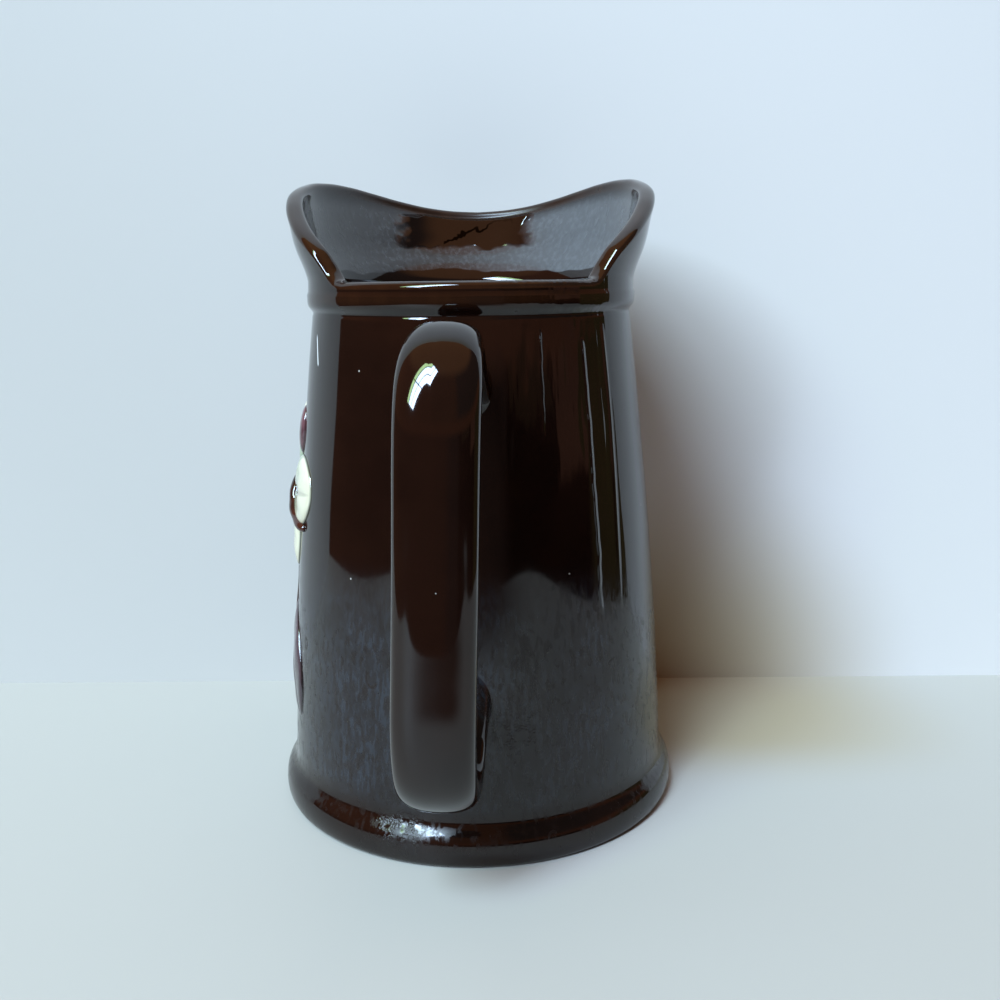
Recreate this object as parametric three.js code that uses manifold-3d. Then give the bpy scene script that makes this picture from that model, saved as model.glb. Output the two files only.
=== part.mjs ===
// A glazed earthenware pitcher, in millimetres, +Z up.
// The origin is the centre of the flat underside. The handle points to -Y and the lip to +Y.
// Angles around the body start at the handle and grow towards +X.

import * as THREE from "three";
import { mergeVertices } from "three/addons/utils/BufferGeometryUtils.js";
import Module from "manifold-3d";

// Driving dimensions of the body

const RIM_HEIGHT = 168; // the low part of the rim, over the handle
const WALL_BASE_RADIUS = 62.3; // outside of the wall where it meets the foot ring
const WALL_NECK_RADIUS = 50.4; // outside of the wall just under the band
const WALL_BASE_Z = 13;
const WALL_NECK_Z = 157;
const WALL_BOW = 1.4; // the wall is this much fuller half way up
const WALL_THICKNESS = 5;
const FLOOR_THICKNESS = 8;
const INNER_CORNER = 12; // rounding between floor and wall inside
const COLUMNS = 76; // facets around the body
const WALL_ROWS = [20, 50, 90, 130]; // heights of the rows of facets between base and neck
const INSIDE_ROWS = [140, 80]; // and inside, from the neck down

// Foot ring: height and radius, from the underside up to the wall
const FOOT = [
  [0, 63.6],
  [0.6, 64.9],
  [2.2, 65.7],
  [4.8, 65.9],
  [7.6, 65.5],
  [9.6, 64.6],
  [11.2, 63.2],
];

// Band under the rim: height and radius, from the neck up to the waist of the collar
const BAND = [
  [158.2, 50.3],
  [159.4, 50.6],
  [161, 51.3],
  [162.4, 51.75],
  [164, 51.75],
];

// Collar: outside radius at heights above the rim's low part
const COLLAR_HEIGHTS = [-2.5, 0, 2.5, 5.5, 9, 12.5, 17.5, 22.5, 27, 34];
const COLLAR_RADII = [51.4, 51.3, 51.8, 52.8, 54.1, 55, 55.8, 56.7, 57.4, 57.5];
const COLLAR_START = 165.2; // the collar's rows begin at this height
const COLLAR_ROWS = 6;
const COLLAR_THICKNESS = 5.4;
const RIM_ROUNDING = 2.2; // height of the rounded edge

// Rise of the rim above its low part, from over the handle round to the lip
const RISE_ANGLES = [0, 44, 48, 51, 54, 57, 62, 68, 76, 86, 97, 108, 117, 126, 135, 145, 155, 165, 173, 180];
const RISE = [0, 0, 0.5, 2.4, 6, 9.6, 13, 16.2, 20, 24.5, 28.4, 31.1, 32.6, 33, 32.5, 30.9, 28.6, 26.4, 25.3, 24.9];

// The facets stand closer together where the rim climbs, between these angles
const CLIMB_FROM = 45;
const CLIMB_TO = 66;

// Lip: the collar's edge reaches this much further forward there
const LIP_REACH = 16;
const LIP_SHARPNESS = 4;

// Handle: a strap with its two ends sunk in the wall. The bends of its middle line are shares of the way out
// from the wall to its reach, and shares of the way up.
const HANDLE_WIDTH = 21.4;
const HANDLE_THICKNESS = 11;
const HANDLE_REACH = 101.2; // from the axis to the middle line where it stands out most
const HANDLE_TOP = 153.1; // height of the middle line in the top bend
const HANDLE_BOTTOM = 36; // and in the bottom bend
const UPPER_ROOT_Z = 139.5; // the strap leaves the wall at this height
const LOWER_ROOT_Z = 48; // and comes back to it here
const ROOT_DEPTH = 2.4; // the ends are sunk this deep in the wall
const RISING_BENDS = [ // up from the upper root to the top bend
  [0.088, 0.08],
  [0.258, 0.55],
  [0.479, 1],
];
const GRIP_BENDS = [ // down from the top bend to the bottom bend
  [0.703, 0.972],
  [0.832, 0.892],
  [0.883, 0.778],
  [0.918, 0.549],
  [0.975, 0.311],
  [1, 0.184],
];
const RETURN_BENDS = [ // round the bottom bend, level with it
  [0.907, 0.069],
  [0.669, 0],
  [0.436, 0.005],
];
const LAST_BENDS = [ // up from the bottom bend to the lower root
  [0.245, 0.64],
  [0.11, 0.95],
];
const HANDLE_TURN = -3.4; // degrees: the strap sits a little to the left of the lip's line
const HANDLE_LEAN = 1.3; // degrees: its upper end leans towards +X
const HANDLE_STEPS = 36;
const HANDLE_SIDES = 18;
const SHOULDER_WIDTH = 18.4; // the strap is narrower where it turns out of the body at the top
const BEND_LENGTH = 24; // the bend at either end is this long
const BEND_FADE = 26; // and turns into the straight grip over this length
const GRIP_FLATNESS = 2.7; // the grip's section is an oval with flattened faces; 2 would be an ellipse
const BEND_FLATNESS = 2.25; // it is rounder in the bends
const ROOT_SPREAD = 0.06; // it widens this much at the wall
const ROOT_HEIGHT = 0.75; // and grows this much taller there
const ROOT_LENGTH = 12;

// Relief on the left side, laid out flat: u runs around the wall towards the handle, z is the height.
// A petal, leaf or bud is [u, z, length, width, turn, height over the wall]; the turn in degrees is from
// upright towards the handle.
const RELIEF_ANGLE = -90;
const RELIEF_ROOT = 0.8; // its edge is sunk this deep in the wall
const FLOWER_Z = 104;
const PETAL = { from: 15, length: 28, width: 23, height: 2.3 };
const PETAL_TURNS = [346, 90, 162, 234, 306];
const LEAVES = [
  [0, FLOWER_Z, 14, 14, 0, 3],
  [7, 121.5, 17, 10.5, 8, 1.8],
  [-17, 131, 18, 11, -30, 1.8],
  [14, 47.5, 42, 14, -32, 1.4],
  [-15, 46, 44, 14, 32, 2],
  [-29, 76, 23, 12, -48, 1.8],
];
// Twig over the near petal and stem under the flower: [u, z, height of its middle over the wall]
const TWIG = [
  [4, 107.5, 0],
  [6.5, 105.5, 1.4],
  [9, 102.5, 2.2],
  [11, 99, 2.2],
  [14, 95.8, 1.7],
  [18, 93.4, 1],
  [23, 91.8, 0],
];
const TWIG_RADIUS = 1.8;
const STEM = [
  [0, 96, 0.2],
  [-1.5, 72, 0.2],
  [0.5, 52, 0.2],
  [0, 30, 0],
];
const STEM_RADIUS = 1.5;

const smooth = (t) => {
  const s = Math.min(Math.max(t, 0), 1);
  return s * s * (3 - 2 * s);
};

// A smooth curve through the given points that never overshoots between them
function throughPoints(xs, ys) {
  const n = xs.length;
  const slope = [];
  for (let i = 0; i < n - 1; i += 1) {
    slope.push((ys[i + 1] - ys[i]) / (xs[i + 1] - xs[i]));
  }
  const tangent = [slope[0]];
  for (let i = 1; i < n - 1; i += 1) {
    const product = slope[i - 1] * slope[i];
    tangent.push(product <= 0 ? 0 : (2 * product) / (slope[i - 1] + slope[i]));
  }
  tangent.push(slope[n - 2]);
  return (x) => {
    if (x <= xs[0]) {
      return ys[0];
    }
    if (x >= xs[n - 1]) {
      return ys[n - 1];
    }
    let i = 0;
    while (x > xs[i + 1]) {
      i += 1;
    }
    const h = xs[i + 1] - xs[i];
    const t = (x - xs[i]) / h;
    const a = 2 * t * t * t - 3 * t * t + 1;
    const b = t * t * t - 2 * t * t + t;
    const c = -2 * t * t * t + 3 * t * t;
    const d = t * t * t - t * t;
    return a * ys[i] + b * h * tangent[i] + c * ys[i + 1] + d * h * tangent[i + 1];
  };
}

const collarRadius = throughPoints(COLLAR_HEIGHTS, COLLAR_RADII);
const rise = throughPoints(RISE_ANGLES, RISE);

// Outside radius of the plain wall at a height
function wallRadius(z) {
  const t = (z - WALL_BASE_Z) / (WALL_NECK_Z - WALL_BASE_Z);
  return WALL_BASE_RADIUS + (WALL_NECK_RADIUS - WALL_BASE_RADIUS) * t + WALL_BOW * 4 * t * (1 - t);
}

// How far the lip carries the collar forward at an angle and a height above the low rim
function lipReach(angle, above) {
  const facing = ((1 - Math.cos(angle)) / 2) ** LIP_SHARPNESS;
  const climb = Math.min(Math.max((above + 2) / (rimRise(angle) - RIM_ROUNDING + 2), 0), 1) ** 1.5;
  return LIP_REACH * facing * climb;
}

function rimRise(angle) {
  const turned = Math.abs(Math.atan2(Math.sin(angle), Math.cos(angle)));
  return rise(THREE.MathUtils.radToDeg(turned));
}

// The rows of the body from the centre of the underside, up the outside, over the rim and down the inside.
// A row gives its radius and height at any angle.
function bodyRows() {
  const rows = [() => [0, 0]];
  for (const [z, radius] of FOOT) {
    rows.push(() => [radius, z]);
  }
  for (const z of [WALL_BASE_Z, ...WALL_ROWS, WALL_NECK_Z]) {
    rows.push(() => [wallRadius(z), z]);
  }
  for (const [z, radius] of BAND) {
    rows.push(() => [radius, z]);
  }
  const edge = (angle) => RIM_HEIGHT + rimRise(angle) - RIM_ROUNDING;
  const outside = (angle, z) => collarRadius(z - RIM_HEIGHT) + lipReach(angle, z - RIM_HEIGHT);
  for (let i = 0; i <= COLLAR_ROWS; i += 1) {
    rows.push((angle) => {
      const z = COLLAR_START + ((edge(angle) - COLLAR_START) * i) / COLLAR_ROWS;
      return [outside(angle, z), z];
    });
  }
  for (const turn of [40, 75, 105, 140]) {
    rows.push((angle) => {
      const half = COLLAR_THICKNESS / 2;
      const z = edge(angle);
      const a = THREE.MathUtils.degToRad(turn);
      return [outside(angle, z) - half + half * Math.cos(a), z + RIM_ROUNDING * Math.sin(a)];
    });
  }
  for (let i = COLLAR_ROWS; i >= 0; i -= 1) {
    if (i !== 1) {
      rows.push((angle) => {
        const z = COLLAR_START + ((edge(angle) - COLLAR_START) * i) / COLLAR_ROWS;
        return [outside(angle, z) - COLLAR_THICKNESS, z];
      });
    }
  }
  for (const z of [...INSIDE_ROWS, FLOOR_THICKNESS + INNER_CORNER]) {
    rows.push(() => [wallRadius(z) - WALL_THICKNESS, z]);
  }
  const cornerTop = wallRadius(FLOOR_THICKNESS + INNER_CORNER) - WALL_THICKNESS;
  for (const turn of [25, 55, 90]) {
    const a = THREE.MathUtils.degToRad(turn);
    const radius = cornerTop - INNER_CORNER * (1 - Math.cos(a));
    const z = FLOOR_THICKNESS + INNER_CORNER * (1 - Math.sin(a));
    rows.push(() => [radius, z]);
  }
  rows.push(() => [0, FLOOR_THICKNESS]);
  return rows;
}

// Columns stand closer together where the rim climbs
function columnAngle(share) {
  const turn = share * Math.PI * 2;
  const signed = turn > Math.PI ? turn - Math.PI * 2 : turn;
  const even = Math.abs(signed) / Math.PI;
  const spread = throughPoints([0, 0.2, 0.45, 1], [0, CLIMB_FROM / 180, CLIMB_TO / 180, 1]);
  return Math.sign(signed) * spread(even) * Math.PI;
}

function bodyGeometry() {
  const rows = bodyRows();
  const profile = rows.map((row) => new THREE.Vector2(...row(0)));
  const lathe = new THREE.LatheGeometry(profile, COLUMNS);
  const position = lathe.attributes.position;
  for (let column = 0; column <= COLUMNS; column += 1) {
    const angle = columnAngle((column % COLUMNS) / COLUMNS);
    rows.forEach((row, i) => {
      const [radius, z] = row(angle);
      position.setXYZ(column * rows.length + i, radius * Math.sin(angle), -radius * Math.cos(angle), z);
    });
  }
  return lathe;
}

// The strap's middle line, as [y, z], from the upper root round to the lower one
function handlePath() {
  const upper = wallRadius(UPPER_ROOT_Z) - ROOT_DEPTH;
  const lower = wallRadius(LOWER_ROOT_Z) - ROOT_DEPTH;
  const along = (bends, from, low, high) =>
    bends.map(([out, up]) => [-(from + (HANDLE_REACH - from) * out), low + (high - low) * up]);
  return [
    [-upper, UPPER_ROOT_Z],
    ...along(RISING_BENDS, upper, UPPER_ROOT_Z, HANDLE_TOP),
    ...along(GRIP_BENDS, upper, HANDLE_BOTTOM, HANDLE_TOP),
    ...along(RETURN_BENDS, lower, HANDLE_BOTTOM, HANDLE_TOP),
    ...along(LAST_BENDS, lower, HANDLE_BOTTOM, LOWER_ROOT_Z),
    [-lower, LOWER_ROOT_Z],
  ];
}

// The handle is a cylinder laid along the strap's middle line
function handleGeometry() {
  const middle = new THREE.CatmullRomCurve3(
    handlePath().map(([y, z]) => new THREE.Vector3(0, y, z)),
    false,
    "centripetal",
  );
  const length = middle.getLength();
  const cylinder = new THREE.CylinderGeometry(1, 1, 1, HANDLE_SIDES, HANDLE_STEPS);
  const position = cylinder.attributes.position;
  const point = new THREE.Vector3();
  for (let i = 0; i < position.count; i += 1) {
    point.fromBufferAttribute(position, i);
    const along = Math.min(Math.max(point.y + 0.5, 0), 1);
    const centre = middle.getPointAt(along);
    const tangent = middle.getTangentAt(along);
    const outward = new THREE.Vector3(0, tangent.z, -tangent.y);
    const toEnd = Math.min(along, 1 - along) * length;
    const root = 1 - smooth(toEnd / ROOT_LENGTH);
    const shoulder = 1 - smooth((along * length - BEND_LENGTH) / BEND_FADE);
    const bend = 1 - smooth((toEnd - BEND_LENGTH) / BEND_FADE);
    const width = HANDLE_WIDTH + (SHOULDER_WIDTH - HANDLE_WIDTH) * shoulder;
    const reach = Math.hypot(point.x, point.z);
    const turn = Math.atan2(point.z, point.x);
    const c = Math.cos(turn);
    const s = Math.sin(turn);
    const power = 2 / (GRIP_FLATNESS + (BEND_FLATNESS - GRIP_FLATNESS) * bend);
    const across = -Math.sign(c) * Math.abs(c) ** power * (width / 2) * reach * (1 + ROOT_SPREAD * root);
    const out = Math.sign(s) * Math.abs(s) ** power * (HANDLE_THICKNESS / 2) * reach * (1 + ROOT_HEIGHT * root);
    position.setXYZ(i, across, centre.y + outward.y * out, centre.z + outward.z * out);
  }
  cylinder.translate(0, 0, -FLOWER_Z);
  cylinder.rotateY(THREE.MathUtils.degToRad(HANDLE_LEAN));
  cylinder.translate(0, 0, FLOWER_Z);
  cylinder.rotateZ(THREE.MathUtils.degToRad(HANDLE_TURN));
  return cylinder;
}

// A place on or over the wall of the relief's side
function onWall(u, z, out) {
  const angle = THREE.MathUtils.degToRad(RELIEF_ANGLE) + u / wallRadius(z);
  const radius = wallRadius(z) + out;
  return new THREE.Vector3(radius * Math.sin(angle), -radius * Math.cos(angle), z);
}

// A pointed oval that lies on the wall: a sphere pressed flat and drawn out to two tips
function leafGeometry([u, z, length, width, turn, height], sides, rows) {
  const sphere = new THREE.SphereGeometry(1, sides, rows);
  const position = sphere.attributes.position;
  const point = new THREE.Vector3();
  const a = THREE.MathUtils.degToRad(turn);
  for (let i = 0; i < position.count; i += 1) {
    point.fromBufferAttribute(position, i);
    const taper = (1 - point.y * point.y + 1e-9) ** 0.12;
    const along = (point.y * length) / 2;
    const across = ((point.x * width) / 2) * taper;
    const dome = point.z > 0 ? point.z ** 0.6 * (height + RELIEF_ROOT) : point.z * RELIEF_ROOT;
    const out = dome * taper - RELIEF_ROOT;
    const place = onWall(
      u + along * Math.sin(a) + across * Math.cos(a),
      z + along * Math.cos(a) - across * Math.sin(a),
      out,
    );
    position.setXYZ(i, place.x, place.y, place.z);
  }
  return sphere;
}

// A twig: a cylinder laid along a curve over the wall
function twigGeometry(points, radius, sides, steps) {
  const middle = new THREE.CatmullRomCurve3(points.map(([u, z, out]) => new THREE.Vector3(u, z, out)));
  const cylinder = new THREE.CylinderGeometry(1, 1, 1, sides, steps);
  const position = cylinder.attributes.position;
  const point = new THREE.Vector3();
  for (let i = 0; i < position.count; i += 1) {
    point.fromBufferAttribute(position, i);
    const along = Math.min(Math.max(point.y + 0.5, 0), 1);
    const centre = middle.getPointAt(along);
    const tangent = middle.getTangentAt(along);
    const flat = Math.hypot(tangent.x, tangent.y);
    const across = point.x * radius;
    const u = centre.x + (tangent.y / flat) * across;
    const z = centre.y - (tangent.x / flat) * across;
    const out = point.z > 0 ? centre.z + point.z * radius : (1 + point.z) * centre.z + point.z * RELIEF_ROOT;
    const place = onWall(u, z, out);
    position.setXYZ(i, place.x, place.y, place.z);
  }
  return cylinder;
}

// Joining the fused parts of the piece into one solid

const wasm = await Module();
wasm.setup();

function solid(geometry) {
  const bare = geometry.clone();
  bare.deleteAttribute("normal");
  bare.deleteAttribute("uv");
  const merged = mergeVertices(bare, 1e-3);
  const index = merged.index.array;
  const triangles = [];
  for (let i = 0; i < index.length; i += 3) {
    const [a, b, c] = [index[i], index[i + 1], index[i + 2]];
    if (a !== b && b !== c && c !== a) {
      triangles.push(a, b, c);
    }
  }
  const mesh = new wasm.Mesh({
    numProp: 3,
    vertProperties: new Float32Array(merged.attributes.position.array),
    triVerts: new Uint32Array(triangles),
  });
  const made = new wasm.Manifold(mesh);
  if (made.volume() < 0) {
    throw new Error("a piece is inside out");
  }
  return made;
}

function fromSolid(joined) {
  const mesh = joined.getMesh();
  const geometry = new THREE.BufferGeometry();
  geometry.setAttribute("position", new THREE.BufferAttribute(new Float32Array(mesh.vertProperties), 3));
  geometry.setIndex(new THREE.BufferAttribute(new Uint32Array(mesh.triVerts), 1));
  geometry.computeVertexNormals();
  return geometry;
}

const petals = PETAL_TURNS.map((turn) => {
  const a = THREE.MathUtils.degToRad(turn);
  return leafGeometry([
    PETAL.from * Math.sin(a),
    FLOWER_Z + PETAL.from * Math.cos(a),
    PETAL.length,
    PETAL.width,
    turn,
    PETAL.height,
  ], 10, 8);
});
const leaves = LEAVES.map((leaf) => leafGeometry(leaf, 10, 8));
const twigs = [twigGeometry(TWIG, TWIG_RADIUS, 7, 10), twigGeometry(STEM, STEM_RADIUS, 6, 5)];

let joined = solid(bodyGeometry()).add(solid(handleGeometry()));
for (const raised of [...petals, ...leaves, ...twigs]) {
  joined = joined.add(solid(raised));
}

const glaze = new THREE.MeshStandardMaterial({ color: 0x24130c, roughness: 0.12, metalness: 0 });
const pitcher = new THREE.Mesh(fromSolid(joined), glaze);
pitcher.name = "pitcher";

const group = new THREE.Group();
group.add(pitcher);

export default group;
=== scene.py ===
# %% [markdown]
# # A glazed earthenware pitcher
#
# The real jug is slip-cast: liquid clay is poured in a plaster mould, so body, band, lip and foot ring come
# out as one shell of even thickness. A strap handle is stuck on, a flower spray is pressed on the left side,
# and everything gets one very glossy brown glaze. Each surface below is worked out with numpy as a grid of
# points, because turned and cast shapes follow short formulas. The grid can be as fine as the gloss needs.

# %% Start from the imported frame
import math

import bpy
import numpy as np
from mathutils import Matrix


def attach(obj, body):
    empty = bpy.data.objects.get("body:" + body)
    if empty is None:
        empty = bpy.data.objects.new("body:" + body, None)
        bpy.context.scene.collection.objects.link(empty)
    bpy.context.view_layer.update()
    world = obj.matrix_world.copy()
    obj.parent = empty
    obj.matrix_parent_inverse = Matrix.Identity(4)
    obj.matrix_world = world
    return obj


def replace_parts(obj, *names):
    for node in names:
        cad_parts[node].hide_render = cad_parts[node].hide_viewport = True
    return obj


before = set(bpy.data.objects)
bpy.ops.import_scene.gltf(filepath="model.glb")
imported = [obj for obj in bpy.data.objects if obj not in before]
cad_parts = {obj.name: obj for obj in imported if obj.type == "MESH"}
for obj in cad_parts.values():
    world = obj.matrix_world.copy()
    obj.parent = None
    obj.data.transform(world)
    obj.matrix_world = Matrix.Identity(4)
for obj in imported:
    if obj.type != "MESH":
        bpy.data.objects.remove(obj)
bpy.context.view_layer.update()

print("nodes in the frame:", sorted(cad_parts))

# %% [markdown]
# ## The sizes that the solid uses
#
# The numbers repeat the solid's own, in millimetres, so that the fine surface lies where the plain one is.
# Angles go round the body from the handle, growing towards +X.

# %% Sizes of body, rim and handle
MM = 0.001
RIM_HEIGHT = 168.0
WALL_BASE = (13.0, 62.3)
WALL_NECK = (157.0, 50.4)
WALL_BOW = 1.4
WALL_THICKNESS = 5.0
FLOOR_THICKNESS = 8.0
INNER_CORNER = 12.0
COLLAR_HEIGHTS = [-2.5, 0, 2.5, 5.5, 9, 12.5, 17.5, 22.5, 27, 34]
COLLAR_RADII = [51.4, 51.3, 51.8, 52.8, 54.1, 55, 55.8, 56.7, 57.4, 57.5]
COLLAR_START = 165.2
COLLAR_THICKNESS = 5.4
COLLAR_HOLLOW = 1.5
RIM_ROUNDING = 2.2
RISE_ANGLES = [0, 44, 48, 51, 54, 57, 62, 68, 76, 86, 97, 108, 117, 126, 135, 145, 155, 165, 173, 180]
RISE = [0, 0, 0.5, 2.4, 6, 9.6, 13, 16.2, 20, 24.5, 28.4, 31.1, 32.6, 33, 32.5, 30.9, 28.6, 26.4, 25.3, 24.9]
LIP_REACH = 16.0
LIP_SHARPNESS = 4
HANDLE_WIDTH = 21.4
HANDLE_THICKNESS = 11.0
SHOULDER_WIDTH = 18.4
SEAM_HEIGHT = 0.12
HANDLE_REACH = 101.2
HANDLE_TOP = 153.1
HANDLE_BOTTOM = 36.0
UPPER_ROOT_Z = 139.5
LOWER_ROOT_Z = 48.0
ROOT_DEPTH = 2.4
HANDLE_TURN = -3.4
HANDLE_LEAN = 1.3
FLOWER_Z = 104.0
print("rim", RIM_HEIGHT, "mm high, strap", HANDLE_WIDTH, "mm wide")

# %% [markdown]
# ## Curves and meshes
#
# Two kinds of curve do all the work: a height read from a table without overshoot, and a smooth path through
# points. A closed skin is a grid of rings with a point at either end, so it has no open seam or pole.

# %% Curve and mesh helpers
def through(xs, ys):
    """A smooth curve through the points. On each span it is the cubic whose end slopes are the harmonic
    mean of the two neighbouring straight slopes, or level where they change sign, so it never overshoots."""
    xs = np.asarray(xs, float)
    ys = np.asarray(ys, float)
    slope = np.diff(ys) / np.diff(xs)
    product = slope[:-1] * slope[1:]
    total = slope[:-1] + slope[1:]
    inner = np.where(product > 0, 2 * product / np.where(total == 0, 1, total), 0)
    tangent = np.concatenate([slope[:1], inner, slope[-1:]])

    def curve(x):
        x = np.clip(np.asarray(x, float), xs[0], xs[-1])
        i = np.clip(np.searchsorted(xs, x, side="right") - 1, 0, len(xs) - 2)
        h = xs[i + 1] - xs[i]
        t = (x - xs[i]) / h
        start = (2 * t**3 - 3 * t**2 + 1) * ys[i] + (t**3 - 2 * t**2 + t) * h * tangent[i]
        end = (3 * t**2 - 2 * t**3) * ys[i + 1] + (t**3 - t**2) * h * tangent[i + 1]
        return start + end

    return curve


def path_through(points, count):
    """A smooth path: each span is the Catmull-Rom blend of its two ends and their neighbours, and the result
    is read off again at equal steps of length."""
    p = np.asarray(points, float)
    p = np.vstack([2 * p[0] - p[1], p, 2 * p[-1] - p[-2]])
    t = np.linspace(0, 1, 24, endpoint=False)[None, :, None]
    a, b, c, d = (p[k : len(p) - 3 + k, None, :] for k in range(4))
    dense = 0.5 * (2 * b + (c - a) * t + (2 * a - 5 * b + 4 * c - d) * t**2 + (3 * b - a - 3 * c + d) * t**3)
    dense = np.vstack([dense.reshape(-1, p.shape[1]), p[-2]])
    length = np.concatenate([[0], np.cumsum(np.linalg.norm(np.diff(dense, axis=0), axis=1))])
    even = np.linspace(0, length[-1], count)
    return np.stack([np.interp(even, length, dense[:, k]) for k in range(p.shape[1])], axis=1)


def ease(t):
    """Zero below 0, one above 1, and 3t^2 - 2t^3 between."""
    t = np.clip(t, 0, 1)
    return t * t * (3 - 2 * t)


def skin(name, rings, **marks):
    """A closed skin from an array of rings (ring, around, xyz), with a fan at each end. Marks are arrays of
    the same grid that become attributes. The faces point outwards: if six times the volume, the sum of
    a . (b x c) over the triangles, is negative, they are turned round."""
    count, around = rings.shape[:2]
    points = np.vstack([rings.reshape(-1, 3), rings[0].mean(0), rings[-1].mean(0)])
    ring = np.arange(count - 1)[:, None] * around
    here = np.arange(around)[None, :]
    after = (here + 1) % around
    corners = [ring + here, ring + after, ring + around + after, ring + around + here]
    quads = np.stack(corners, axis=2).reshape(-1, 4)
    first, last = count * around, count * around + 1
    row = np.arange(around)
    near = np.stack([np.full(around, first), (row + 1) % around, row], axis=1)
    base = (count - 1) * around
    far = np.stack([np.full(around, last), base + row, base + (row + 1) % around], axis=1)
    tris = np.vstack([quads[:, [0, 1, 2]], quads[:, [0, 2, 3]], near, far])
    a, b, c = (points[tris[:, k]] for k in range(3))
    if np.einsum("ij,ij->i", a, np.cross(b, c)).sum() < 0:
        quads, near, far = quads[:, ::-1], near[:, ::-1], far[:, ::-1]
    mesh = bpy.data.meshes.new(name)
    mesh.from_pydata((points * MM).tolist(), [], quads.tolist() + near.tolist() + far.tolist())
    mesh.polygons.foreach_set("use_smooth", np.ones(len(mesh.polygons), bool))
    for mark, values in marks.items():
        grid = np.broadcast_to(values, (count, around))
        ends = [grid[0].mean(), grid[-1].mean()]
        attribute = mesh.attributes.new(mark, "FLOAT", "POINT")
        attribute.data.foreach_set("value", np.concatenate([grid.ravel(), ends]).astype(np.float32))
    mesh.update()
    made = bpy.data.objects.new(name, mesh)
    bpy.context.collection.objects.link(made)
    print(f"{name}: {len(mesh.polygons)} faces")
    return made


print("a curve from 0 to 1 that then stays level:", through([0, 1, 2], [0, 1, 1])([0.5, 1, 1.5]))

# %% [markdown]
# ## The wall, the collar and the lip
#
# The wall is a straight taper, a little full half way up. Above the waist the collar flares in an S, and its
# edge is cut low over the handle and climbs to the lip. Cast ware is never quite true, so the wall swells and
# dips by a tenth of a millimetre, which is what bends the long reflections in the glaze.

# %% Radius of the wall and the collar
def wall_radius(z):
    """Straight from the base radius to the neck radius, plus the bow times 4t(1 - t)."""
    t = (z - WALL_BASE[0]) / (WALL_NECK[0] - WALL_BASE[0])
    return WALL_BASE[1] + (WALL_NECK[1] - WALL_BASE[1]) * t + WALL_BOW * 4 * t * (1 - t)


collar_radius = through(COLLAR_HEIGHTS, COLLAR_RADII)
rise_at = through(RISE_ANGLES, RISE)


def rim_rise(angle):
    """Height of the rim over its low part, read from the table at the turn away from the handle."""
    return rise_at(np.degrees(np.abs(np.arctan2(np.sin(angle), np.cos(angle)))))


def collar_outside(angle, z):
    """The flare's radius, plus the lip: its reach times ((1 - cos angle) / 2) to a power, growing with the
    share of the local height to the power 1.5."""
    above = z - RIM_HEIGHT
    facing = ((1 - np.cos(angle)) / 2) ** LIP_SHARPNESS
    climb = np.clip((above + 2) / (rim_rise(angle) - RIM_ROUNDING + 2), 0, 1) ** 1.5
    return collar_radius(above) + LIP_REACH * facing * climb


# Each run of thick glaze: degrees round the wall, width in degrees, lowest and highest place, and height.
THICK_RUNS = [(50.5, 0.8, 62, 156, 0.3), (46.8, 0.6, 96, 157, 0.16), (31, 0.8, 118, 157, 0.14)]


def unevenness(angle, z):
    """A few slow waves around and up the wall, a tenth of a millimetre high, and the vertical runs of thick
    glaze: ridges with a bell-shaped section that fade out upwards and downwards."""
    waves = 0.05 * np.sin(3 * angle + z / 21) + 0.035 * np.sin(5 * angle - z / 13 + 1.3)
    waves = waves + 0.02 * np.sin(11 * angle + z / 9 + 0.4)
    for where, width, low, high, tall in THICK_RUNS:
        drift = 0.35 * np.sin(z / 17 + where)
        bell = np.exp(-(((np.degrees(angle) - where - drift) / width) ** 2))
        waves = waves + tall * bell * ease((z - low) / 30) * ease((high - z) / 6)
    return waves


print("collar radius at the top:", float(collar_radius(30)), "mm")

# %% [markdown]
# ## The body as one closed skin
#
# The profile starts at the centre of the underside, which is recessed by a millimetre and a half as cast feet
# are, goes round the foot ring, up the wall, over the cove and the band, up the collar, over the rim and down
# the inside to the floor. Above the band a row's radius and height depend on the angle too.

# %% Body grid
COLUMNS = 344
share = np.arange(COLUMNS) / COLUMNS
signed = np.where(share > 0.5, share - 1, share) * 2
spread = through([0, 0.2, 0.45, 1], [0, 45 / 180, 66 / 180, 1])
angle = np.sign(signed) * spread(np.abs(signed)) * np.pi

under = [
    (2, 1.5), (20, 1.5), (40, 1.5), (52, 1.5), (54.5, 1.3),
    (56.2, 0.7), (57.4, 0.1), (58.4, 0), (60.5, 0), (62.6, 0),
]
foot = [
    (63.7, 0.08), (64.9, 0.7), (65.65, 2.2), (65.9, 4.8), (65.5, 7.6),
    (64.6, 9.6), (63.3, 11.3), (62.45, 13), (62.05, 15.5),
]
band = [
    (50.42, 157), (50.3, 157.8), (50.12, 158.3), (50.25, 158.9),
    (50.85, 159.7), (51.45, 160.6), (51.74, 161.8), (51.78, 164),
]
wall_z = np.linspace(18, 156, 62)
profile = np.vstack([
    path_through(under, 26),
    path_through(foot, 34),
    np.stack([wall_radius(wall_z), wall_z], axis=1),
    path_through(band, 22),
])


def fixed_rows(profile, uneven):
    """Rows that don't depend on the angle, but for the unevenness where it is asked for."""
    radius = np.broadcast_to(profile[:, :1], (len(profile), COLUMNS))
    z = np.broadcast_to(profile[:, 1:], (len(profile), COLUMNS))
    wave = unevenness(angle[None, :], z) * ease((z - 11) / 8) * ease((162 - z) / 5)
    return np.stack([radius + uneven * wave, z])


edge = RIM_HEIGHT + rim_rise(angle)[None, :] - RIM_ROUNDING


def collar_skin(z):
    """The collar's outside with most of the wall's unevenness."""
    return collar_outside(angle[None, :], z) + 0.8 * unevenness(angle[None, :], z)


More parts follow.
